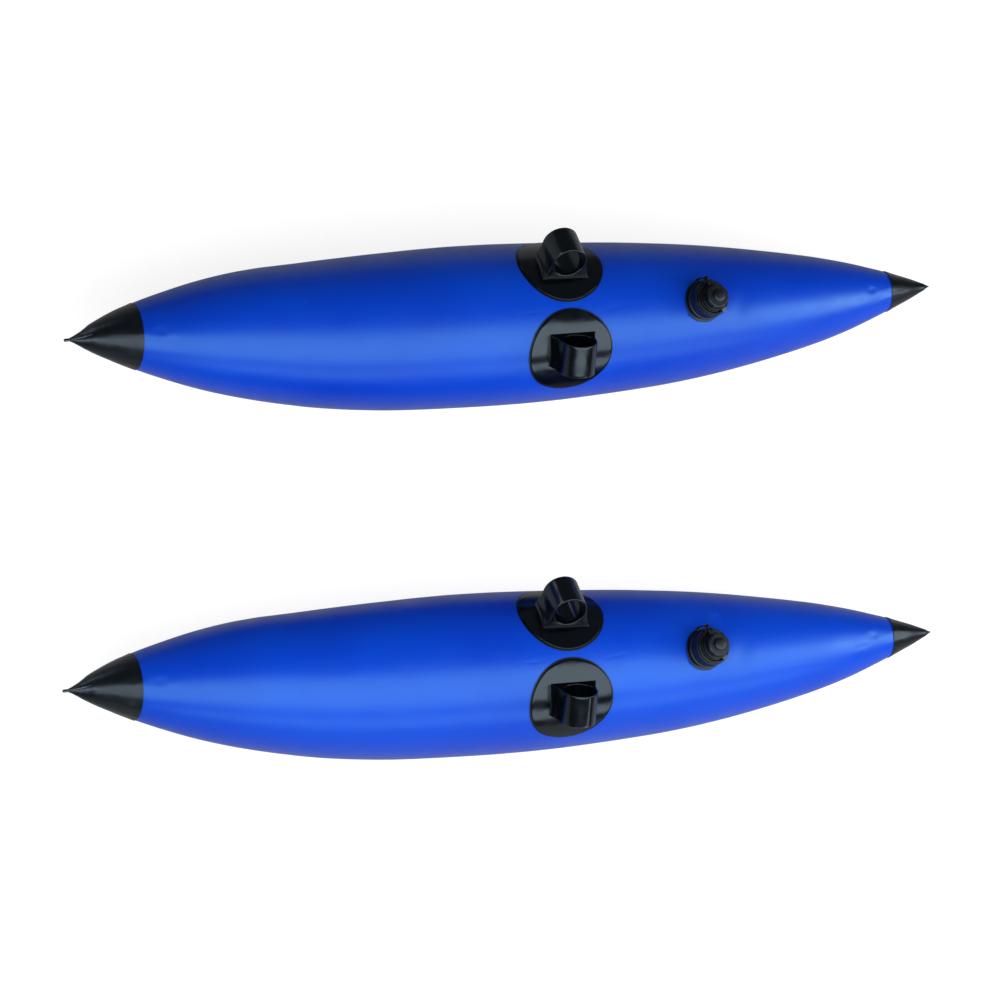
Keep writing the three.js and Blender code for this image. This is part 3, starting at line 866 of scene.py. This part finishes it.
def nub(name, end, sign, thick, thin):
    """A slim welded bar that fills the end of a cone and sticks out a little."""
    rings = []
    for step in range(NUB_STEPS + 1):
        share = step / NUB_STEPS
        x = end + sign * NUB_LENGTH * share
        body = math.sqrt(min(share / NUB_ROUND_END, 1)) * (1 - NUB_TAPER * max(share - 0.5, 0))
        weld = 1 + WELD_RIPPLE * math.sin(share * WELD_PITCH)
        wide, high = thick * body * weld + 1e-5, thin * body * weld + 1e-5
        rings.append([float_middle + Vector((
            x, middle_line(x) + wide * math.cos(turn), high * math.sin(turn)))
            for turn in full_turn(32)])
    return lofted(name, rings, weld_vinyl)


def seam_bead(name):
    """The raised end of the nose cone's rolled seam, a slim bead near its tip."""
    rings = []
    for step in range(NUB_STEPS + 1):
        share = step / NUB_STEPS
        distance = (BEAD_START + BEAD_LENGTH * share) * MM
        x = -FLOAT_LENGTH / 2 + distance
        radius = (hull_radius(x) + CONE_LIFT) * listed(NOSE_DRAW, distance / MM)
        size = 0.25 + 0.75 * math.sin(math.pi * min(share * 1.15, 1)) ** 0.5
        middle = Vector((x, middle_line(x) + radius * math.sin(BEAD_TURN),
                         radius * math.cos(BEAD_TURN) * flatness(distance)))
        rings.append([float_middle + middle
                      + BEAD_ACROSS * (BEAD_WIDTH / 2 * size * math.cos(turn))
                      + BEAD_OUT * (BEAD_HEIGHT * size * math.sin(turn))
                      for turn in full_turn(16)])
    return lofted(name, rings, bead_vinyl)


BEAD_TURN, BEAD_WIDTH, BEAD_HEIGHT = 0.10, 2.8 * MM, 1.3 * MM
BEAD_OUT = Vector((0, math.sin(BEAD_TURN), math.cos(BEAD_TURN)))
BEAD_ACROSS = Vector((0, math.cos(BEAD_TURN), -math.sin(BEAD_TURN)))
nose_nub = joined("port_nose_weld", [
    seam_bead("bead"), nub("nub", -FLOAT_LENGTH / 2 - NOSE_NUB_PROUD, 1, 1.8 * MM, 1.4 * MM)])
tail_nub = nub("port_tail_weld", FLOAT_LENGTH / 2, -1, 0.7 * MM, 0.6 * MM)
print("nubs", [len(o.data.vertices) for o in (nose_nub, tail_nub)])

# %% [markdown]
# Each pole socket is one glossy moulding: a round flange that wraps the shoulder of the hull
# and an arched sleeve with the pole's bore. The flange is laid down in polar rings whose
# distance is measured along the hull, so it stays round when unrolled. The sleeve is a ring of
# outlines: out over the arch, round its lip, across the end face and back through the bore.

# %% Round pieces on the hull
SOCKET_PLACE = 50 * MM
ARCH_RADIUS = 20.4 * MM
BORE_RADIUS = 18 * MM
SLEEVE_HALF_LENGTH = 19 * MM
SLEEVE_INSET = 4.5 * MM
SLEEVE_HALF_FOOT = 26.4 * MM
FLANGE_RADIUS = math.hypot(SLEEVE_HALF_FOOT, SLEEVE_HALF_LENGTH) + 16 * MM
PATCH_RADIUS = FLANGE_RADIUS + 2 * MM
SOCKET_ANGLE = (PATCH_RADIUS + 3.5 * MM) / hull_radius(SOCKET_PLACE)


def round_on_hull(name, x, angle, profile, material, sides=128):
    """A closed round piece on the hull, from a profile of (distance, lift)."""
    base = hull_radius(x)
    rings = [[on_hull(x + distance * math.cos(turn), angle + distance * math.sin(turn) / base, lift)
              for turn in full_turn(sides)] for distance, lift in profile]
    return lofted(name, rings, material)


def disc_profile(radius, low, high, inner=0.0, edge=0.5 * MM, crown=0.0, steps=26):
    """From the middle below, out to a rounded edge and back to the middle above."""
    start = max(inner, 0.4 * MM)
    profile = [(start + (radius - edge - start) * i / steps, low) for i in range(steps + 1)]
    for i in range(1, 6):
        turn = math.pi / 2 * i / 5
        profile.append((radius - edge + edge * math.sin(turn), high - edge * math.cos(turn)
                        if high - edge > low else low + (high - low) * i / 6))
    for i in range(1, 5):
        turn = math.pi / 2 * i / 4
        profile.append((radius - edge + edge * math.cos(turn), high - edge + edge * math.sin(turn)))
    for i in range(1, steps + 1):
        share = 1 - i / steps
        profile.append((start + (radius - edge - start) * share, high + crown * (1 - share ** 2)))
    return profile


# %% Socket flange and sleeve
SOCKET_UNDER = 1.2 * MM
SOCKET_TOP = 2.8 * MM
SLEEVE_SINK = 1.2 * MM
FLANK_STEPS, ARCH_STEPS, BOTTOM_STEPS = 14, 44, 20
BORE_CENTRE = SOCKET_TOP + 1.8 * MM + BORE_RADIUS
FOOT_FLARE = ((-1.2, 0.7), (-0.5, 0.5), (0.2, 0.25), (0.9, 0.0), (1.8, -0.3), (3.0, -0.7))
FLANK_DRAW = 1.0 * MM


def sleeve_outline(y, inset):
    """The sleeve's outline at a place along its bore, as (x, z) in the fitting's frame."""
    base = hull_radius(SOCKET_PLACE)
    floor_level = math.sqrt((base + SOCKET_TOP) ** 2 - y * y) - base
    arch = ARCH_RADIUS - inset
    drop = SOCKET_TOP - BORE_CENTRE
    tangent = (math.atan2(drop, SLEEVE_HALF_FOOT)
               + math.acos(ARCH_RADIUS / math.hypot(SLEEVE_HALF_FOOT, drop)))
    top_x, top_z = arch * math.cos(tangent), BORE_CENTRE + arch * math.sin(tangent)
    lean = (SLEEVE_HALF_FOOT - ARCH_RADIUS * math.cos(tangent)) / (
        BORE_CENTRE + ARCH_RADIUS * math.sin(tangent) - SOCKET_TOP)
    half = []
    for above, flare in FOOT_FLARE:
        level = floor_level + above * MM
        half.append((top_x + (top_z - level) * lean + flare * MM, level))
    foot_x, foot_z = half[-1]
    for i in range(1, FLANK_STEPS + 1):
        share = i / FLANK_STEPS
        drawn_in = FLANK_DRAW * math.sin(math.pi * share) ** 2
        half.append((foot_x + (top_x - foot_x) * share - drawn_in,
                     foot_z + (top_z - foot_z) * share))
    for i in range(1, ARCH_STEPS + 1):
        turn = tangent + (math.pi / 2 - tangent) * i / ARCH_STEPS
        half.append((arch * math.cos(turn), BORE_CENTRE + arch * math.sin(turn)))
    mirrored = [(-x, z) for x, z in reversed(half[:-1])]
    low = floor_level - SLEEVE_SINK
    reach = half[0][0]
    bottom = [(-reach + 2 * reach * i / BOTTOM_STEPS, low) for i in range(1, BOTTOM_STEPS)]
    return half + mirrored + bottom


def bore_ring(outline, y, radius):
    """Points of the bore's circle, each one beside a point of the outline."""
    ring = []
    for x, z in outline:
        turn = math.atan2(z - BORE_CENTRE, x)
        ring.append(Vector((radius * math.cos(turn), y, BORE_CENTRE + radius * math.sin(turn))))
    return ring


def quarter(radius, steps=4):
    """Points of a quarter round, as (distance from the end, distance from the side)."""
    turns = [math.pi / 2 * i / steps for i in range(steps + 1)]
    return [(radius * (1 - math.cos(t)), radius * (1 - math.sin(t))) for t in turns]


def sleeve_rings(shift, lip=0.9 * MM, rim=0.8 * MM):
    """All outlines of the sleeve, once round through the air and once through the bore."""
    end = SLEEVE_HALF_LENGTH
    first = [(-end + back, inset) for back, inset in quarter(lip)]
    middle = [(-end + lip + 2 * (end - lip) * i / 16, 0.0) for i in range(1, 16)]
    last = [(-y, inset) for y, inset in reversed(first)]
    rings = []
    for y, inset in first + middle + last:
        rings.append([Vector((x, y + shift, z)) for x, z in sleeve_outline(y + shift, inset)])
    mouth = [(end - back, BORE_RADIUS + inset) for back, inset in quarter(rim)]
    through = [(end - rim - 2 * (end - rim) * i / 12, BORE_RADIUS) for i in range(1, 12)]
    leave = [(-y, radius) for y, radius in reversed(mouth)]
    outline = sleeve_outline(end + shift, lip)
    for y, radius in mouth + through + leave:
        rings.append(bore_ring(outline, y + shift, radius))
    return rings


def pole_socket(name, side):
    """One socket of the port float, on the far side for 1 and on the near side for -1."""
    angle = side * SOCKET_ANGLE
    flange = round_on_hull(
        name + "_flange", SOCKET_PLACE, angle,
        disc_profile(FLANGE_RADIUS, SOCKET_UNDER, SOCKET_TOP, edge=0.8 * MM), socket_black)
    place = fitting_frame(SOCKET_PLACE, angle)
    outlines = sleeve_rings(-side * SLEEVE_INSET)
    sleeve = lofted(name + "_sleeve", [[place @ p for p in ring] for ring in outlines],
                    socket_black, closed=True, sharp=30)
    return joined(name, [flange, sleeve])


far_socket = pole_socket("port_far_sleeve_socket", 1)
near_socket = pole_socket("port_near_sleeve_socket", -1)
patches = []
for word, side in (("far", 1), ("near", -1)):
    patches.append(round_on_hull(
        f"port_{word}_weld_patch", SOCKET_PLACE, side * SOCKET_ANGLE,
        disc_profile(PATCH_RADIUS, SEAT_GAP, 0.9 * MM, edge=0.25 * MM), weld_vinyl))
print("socket points", len(far_socket.data.vertices), len(near_socket.data.vertices))

# %% [markdown]
# The valve is turned work: a neck welded on the hull, a screwed body over it and a screw cap
# on top, each a closed outline spun about the valve's own axis. Moulded parts have no sharp
# corners, so every outline gets its corners rounded before it is spun. The neck and the nozzle
# carry a real screw thread that shows when the body or the cap is unscrewed.

# %% Turned pieces


def softened(outline, radius, steps=4):
    """Rounds the corners of a closed outline of (radius, level) points."""
    result = []
    count = len(outline)
    for i in range(count):
        before, here, after = (Vector(outline[(i + k) % count]) for k in (-1, 0, 1))
        into, out = before - here, after - here
        cut = min(radius, into.length * 0.45, out.length * 0.45)
        start = here + into.normalized() * cut
        stop = here + out.normalized() * cut
        for k in range(steps + 1):
            share = k / steps
            spot = (start.lerp(here, share)).lerp(here.lerp(stop, share), share)
            result.append((spot.x, spot.y))
    return result


def in_mm(points):
    """Points given in millimetres, in metres."""
    return [(x * MM, z * MM) for x, z in points]


def subdivided(outline, longest):
    """Adds points to the long stretches of a closed outline."""
    result = []
    for i, first in enumerate(outline):
        second = outline[(i + 1) % len(outline)]
        parts = max(1, math.ceil(math.dist(first, second) / longest))
        for k in range(parts):
            share = k / parts
            result.append((first[0] + (second[0] - first[0]) * share,
                           first[1] + (second[1] - first[1]) * share))
    return result


def spun(name, outline, material, sides=96, shape=None):
    """Spins an outline about the valve's axis. shape may change a point's radius."""
    rings = []
    for radius, level in outline:
        sizes = [(turn, shape(radius, level, turn) if shape else radius)
                 for turn in full_turn(sides)]
        rings.append([valve_frame @ Vector((size * math.cos(turn), size * math.sin(turn), level))
                      for turn, size in sizes])
    return lofted(name, rings, material, closed=True)


THREAD_LEAD = 4.5 * MM
THREAD_DEPTH = 0.32 * MM
THREAD_RUNOUT = 1.2 * MM


def threaded(core, low, high):
    """A shape that raises a screw thread on the stretch of an outline at the core's radius."""
    def shape(radius, level, turn):
        if abs(radius - core) > 0.02 * MM or not low < level < high:
            return radius
        ends = min((level - low) / THREAD_RUNOUT, (high - level) / THREAD_RUNOUT, 1)
        wave = math.cos(2 * math.pi * (level / THREAD_LEAD) - turn)
        return radius + THREAD_DEPTH * ends * max(wave, 0) ** 1.5
    return shape


# %% Valve base
VALVE_FLANGE_RADIUS = 23.4 * MM
NECK_BORE = 15 * MM
base_disc = round_on_hull(
    "valve_flange", VALVE_PLACE, VALVE_ANGLE,
    disc_profile(VALVE_FLANGE_RADIUS, SEAT_GAP, 1.9 * MM, inner=NECK_BORE, edge=0.6 * MM, steps=8),
    valve_black, 96)
neck_outline = subdivided(softened(in_mm(((15, -4.8), (17.4, -4.8), (17.4, 16.9), (15, 16.9))),
                                   0.5 * MM), 0.5 * MM)
neck = spun("valve_neck", neck_outline, valve_black,
            shape=threaded(17.4 * MM, 4.5 * MM, 15.5 * MM))
valve_base = joined("port_valve_seat", [base_disc, neck])

# %% Screwed body
body_outline = softened(in_mm((
    (8.5, 18.7), (17.9, 18.7), (17.9, 4.1), (22.0, 4.1), (22.0, 6.7), (20.4, 7.0), (20.4, 20.9),
    (16, 20.9), (16, 25.1), (10.6, 25.1), (10.6, 33.1), (8.5, 33.1))), 0.55 * MM)
body_shell = spun("valve_shell", subdivided(body_outline, 0.5 * MM), valve_black,
                  shape=threaded(10.6 * MM, 25.6 * MM, 32.4 * MM))
hub = spun("valve_hub", softened(in_mm(((1.7, 18.7), (3.0, 18.7), (3.0, 20.9), (1.7, 20.9))),
                                 0.3 * MM), valve_black, 40)


def spoke(name, turn):
    """One bar of the cross that carries the check disc."""
    outline = softened(in_mm(((-1.0, 18.8), (1.0, 18.8), (1.0, 20.8), (-1.0, 20.8))), 0.3 * MM)
    spin = Matrix.Rotation(turn, 4, "Z")
    rings = []
    for distance in (2.6 * MM, 5.6 * MM, 9.6 * MM):
        rings.append([valve_frame @ spin @ Vector((distance, x, z)) for x, z in outline])
    return lofted(name, rings, valve_black)


spokes = [spoke(f"spoke_{i}", math.pi / 2 * i) for i in range(4)]
print("valve parts", len(valve_base.data.vertices), len(body_shell.data.vertices))

# %% [markdown]
# Forty grip ribs stand round the screwed body. They repeat, so nodes make them: a circle of
# points, one slim bar on each, turned to face outwards. The count, the radius and the bar's
# size are inputs of the tree.

# %% Grip ribs
rib_inputs = {"Count": (COUNT, 40), "Material": (MATERIAL, None)} | inputs_of(LENGTH, {
    "Radius": 20.4 * MM, "Level": 0.0, "Proud": 0.5 * MM, "Width": 1.0 * MM, "Height": 10 * MM})
rib_tree, rib_read = new_tree("grip_ribs", rib_inputs)
circle = add(rib_tree, "GeometryNodeMeshCircle")
bar = add(rib_tree, "GeometryNodeMeshCylinder", Vertices=10, Radius=0.5, Depth=1.0)
squeeze = add(rib_tree, "GeometryNodeTransform")
raise_up = add(rib_tree, "GeometryNodeTransform")
spot_of_rib = add(rib_tree, "GeometryNodeInputPosition")
flat = add(rib_tree, "ShaderNodeVectorMath", operation="MULTIPLY")
flat.inputs[1].default_value = (1, 1, 0)
face_out = add(rib_tree, "FunctionNodeAlignRotationToVector", axis="X")
set_bars = add(rib_tree, "GeometryNodeInstanceOnPoints")
bar_size = point_of(rib_tree, figure(rib_tree, "MULTIPLY", rib_read["Proud"], 2),
                    rib_read["Width"], rib_read["Height"])
bar_level = point_of(rib_tree, 0.0, 0.0, rib_read["Level"])
wire(rib_tree, (rib_read["Count"], circle.inputs["Vertices"]),
     (rib_read["Radius"], circle.inputs["Radius"]),
     (bar.outputs["Mesh"], squeeze.inputs["Geometry"]), (bar_size, squeeze.inputs["Scale"]),
     (circle.outputs["Mesh"], raise_up.inputs["Geometry"]),
     (bar_level, raise_up.inputs["Translation"]), (spot_of_rib.outputs[0], flat.inputs[0]),
     (flat.outputs[0], face_out.inputs["Vector"]),
     (raise_up.outputs["Geometry"], set_bars.inputs["Points"]),
     (squeeze.outputs["Geometry"], set_bars.inputs["Instance"]),
     (face_out.outputs["Rotation"], set_bars.inputs["Rotation"]))
end_tree(rib_tree, set_bars.outputs["Instances"], rib_read["Material"])


def grip_ribs(name, **sizes):
    """Ribs about the valve's axis, as a piece at their real place."""
    ribs = settle(grown(name, rib_tree, Material=valve_black, **sizes))
    ribs.data.transform(valve_frame)
    return ribs


body_ribs = grip_ribs("body_ribs", Count=40, Radius=20.35 * MM, Level=13.4 * MM, Proud=0.45 * MM,
                      Width=1.3 * MM, Height=11.6 * MM)
valve_body = joined("port_valve_shell", [body_shell, hub, *spokes, body_ribs])
print("ribbed body", len(valve_body.data.polygons), "faces")

# %% Screw cap
GRIP_FLAT = 12.8 * MM
GRIP_CORNER = 13.45 * MM
GRIP_START, GRIP_LOW = 12.15 * MM, 28.5 * MM
CORNER_BLEND = 0.25 * MM


def eight_sided(radius, level, turn):
    """Turns the stretch of the cap outside its waist into an eight-sided grip."""
    if radius <= GRIP_START or level < GRIP_LOW:
        return radius
    side = math.pi / 4
    off = (turn + side / 2) % side - side / 2
    flat_side = GRIP_FLAT / math.cos(off)
    gap = max(CORNER_BLEND - abs(flat_side - GRIP_CORNER), 0) / CORNER_BLEND
    nearest = min(flat_side, GRIP_CORNER) - gap * gap * CORNER_BLEND / 4
    return nearest + radius - GRIP_FLAT


cap_outline = softened(in_mm((
    (11.1, 34.9), (11.1, 25.6), (13.7, 25.6), (13.7, 27.6), (12.1, 27.6), (12.1, 29.8),
    (12.8, 29.8), (12.8, 36.1), (11.8, 37.1), (7.2, 37.1), (7.2, 40.4), (6.0, 41.2),
    (4.2, 41.6), (2.2, 41.8), (0.3, 41.85), (0.3, 34.9))), 0.5 * MM, 5)
screw_cap = spun("port_cap_grip", cap_outline, valve_black, 128, eight_sided)

# %% [markdown]
# Two soft straps keep the loosened pieces on the float. Each has a ring round the lower piece,
# a ring round the upper one and a bent arm between them. When the upper piece is screwed up,
# the real strap stretches and bends, so this one follows both bodies and turns smoothly from
# one to the other along its arm.

# %% Straps
STRAP_WALL = 1.4 * MM
RING_WIDTH = 2.4 * MM
ARM_WIDTH = 6 * MM
ARM_BEND = 2.2 * MM
SOFT_EDGE = 0.5 * MM
RING_OVERLAP = 0.6
STRAP_TURN = math.radians(105)
TAB_TURN = math.radians(-56)


def flat_ring(name, inner, low):
    """A soft flat ring about the valve's axis."""
    outer, high = inner + RING_WIDTH, low + STRAP_WALL
    outline = softened(((inner, low), (outer, low), (outer, high), (inner, high)), SOFT_EDGE)
    return spun(name, outline, strap_black)


def ribbon(name, path, width, turn):
    """A soft band along a path of (distance, level) points, seen at an angle about the axis."""
    half_wide, half_thick = width / 2, STRAP_WALL / 2
    section = softened(((-half_wide, -half_thick), (half_wide, -half_thick),
                        (half_wide, half_thick), (-half_wide, half_thick)), SOFT_EDGE)
    spin = valve_frame @ Matrix.Rotation(turn, 4, "Z")
    rings = []
    for i, (distance, level) in enumerate(path):
        before, after = path[max(i - 1, 0)], path[min(i + 1, len(path) - 1)]
        heading = Vector((after[0] - before[0], after[1] - before[1])).normalized()
        rings.append([spin @ Vector((distance - heading.y * t, w, level + heading.x * t))
                      for w, t in section])
    return lofted(name, rings, strap_black)


def open_path(points, radius):
    """Rounds the inner corners of an open path."""
    path = [points[0]]
    for before, here, after in zip(points, points[1:], points[2:]):
        here, into, out = Vector(here), Vector(before) - Vector(here), Vector(after) - Vector(here)
        start = here + into.normalized() * min(radius, into.length * 0.5)
        stop = here + out.normalized() * min(radius, out.length * 0.5)
        for k in range(9):
            share = k / 8
            spot = start.lerp(here, share).lerp(here.lerp(stop, share), share)
            path.append((spot.x, spot.y))
    path.append(points[-1])
    return path


def strap_arm(name, low_inner, low, high_inner, high, reach):
    """The bent arm between two rings."""
    out = max(low_inner, high_inner) + RING_WIDTH + reach - STRAP_WALL / 2
    lower, upper = low + STRAP_WALL / 2, high + STRAP_WALL / 2
    corners = ((low_inner + RING_WIDTH * RING_OVERLAP, lower), (out, lower), (out, upper),
               (high_inner + RING_WIDTH * RING_OVERLAP, upper))
    return ribbon(name, open_path(corners, ARM_BEND), ARM_WIDTH, STRAP_TURN)


def strap(name, low_ring, high_ring, reach, *more):
    """Two rings, each with an inner radius and a level in millimetres, and their arm."""
    rings = in_mm((low_ring, high_ring))
    return joined(name, [flat_ring("low_ring", *rings[0]), flat_ring("high_ring", *rings[1]),
                         strap_arm("arm", *rings[0], *rings[1], reach), *more])


body_strap = strap("port_body_keeper", (17.9, 2.2), (16.5, 21.2), 6 * MM)
TAB_LEVEL = 27.9 * MM + STRAP_WALL / 2
tab_path = open_path(((13.8 * MM, TAB_LEVEL), (15.4 * MM, TAB_LEVEL),
                      (19.3 * MM, TAB_LEVEL - 1.1 * MM)), 1.6 * MM)
cap_strap = strap("port_cap_keeper", (16.5, 23.1), (12.6, 27.9), 2.6 * MM,
                  ribbon("tab", tab_path, 6.5 * MM, TAB_TURN))
print("straps", len(body_strap.data.polygons), len(cap_strap.data.polygons))

# %% [markdown]
# Every piece now says which body it rides on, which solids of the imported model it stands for
# and whose finish it takes. The other float gets the same pieces, with their points moved, and
# the seals and check discs keep their own solids and get their finishes.

# %% Putting the pieces on their bodies
AXIS_START, AXIS_BODY, AXIS_SHOULDER, AXIS_CAP = (
    valve_frame @ Vector((0, 0, level * MM)) for level in (4.0, 21.0, 24.6, 27.8))
DRESSED = (
    (skin, "float", "blue_vinyl", ("air_tube",)),
    (tape, "float", "blue_vinyl", ("keel_seam_tape",)),
    (nose_cone, "float", "black_vinyl", ("nose_cone",)),
    (tail_cone, "float", "black_vinyl", ("tail_cone",)),
    (nose_nub, "float", "weld_black", ("nose_tip",)),
    (tail_nub, "float", "weld_black", ("tail_tip",)),
    (patches[0], "float", "weld_black", ("far_socket_patch",)),
    (patches[1], "float", "weld_black", ("near_socket_patch",)),
    (far_socket, "float", "gloss_black", ("far_pole_socket",)),
    (near_socket, "float", "gloss_black", ("near_pole_socket",)),
    (valve_base, "float", "valve_black", ("valve_base",)),
    (valve_body, "valve", "valve_black", ("valve_body",)),
    (screw_cap, "cap", "valve_black", ("valve_cap",)),
)
STRAPS = (
    (body_strap, "float", "valve_collar", AXIS_START, AXIS_BODY, "body_strap"),
    (cap_strap, "valve", "cap_collar", AXIS_SHOULDER, AXIS_CAP, "cap_strap"),
)


def twin(piece):
    """The same piece on the starboard float, with its points moved."""
    copy = new_object(piece.name.replace("port_", "starboard_"), piece.data.copy())
    return moved(copy, other_float)


for piece, body, finish, nodes in DRESSED:
    for side, item in (("port", piece), ("starboard", twin(piece))):
        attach(item, f"{side}_{body}")
        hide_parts(*(f"{side}_{node}" for node in nodes))
for piece, lower, upper, start, end, node in STRAPS:
    for side, item, shift in (("port", piece, Vector()), ("starboard", twin(piece), other_float)):
        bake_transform(item)
        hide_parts(f"{side}_{node}")
for side in ("port", "starboard"):
    for node, finish in (("body_seal", seal_rubber), ("cap_seal", seal_rubber),
                         ("check_diaphragm", silicone)):
        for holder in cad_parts[f"{side}_{node}"].material_slots:
            holder.material = finish

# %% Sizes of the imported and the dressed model
visual_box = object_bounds()
for low, high in (cad_box, visual_box):
    print([round(1000 * (high[i] - low[i]), 1) for i in range(3)], "mm")
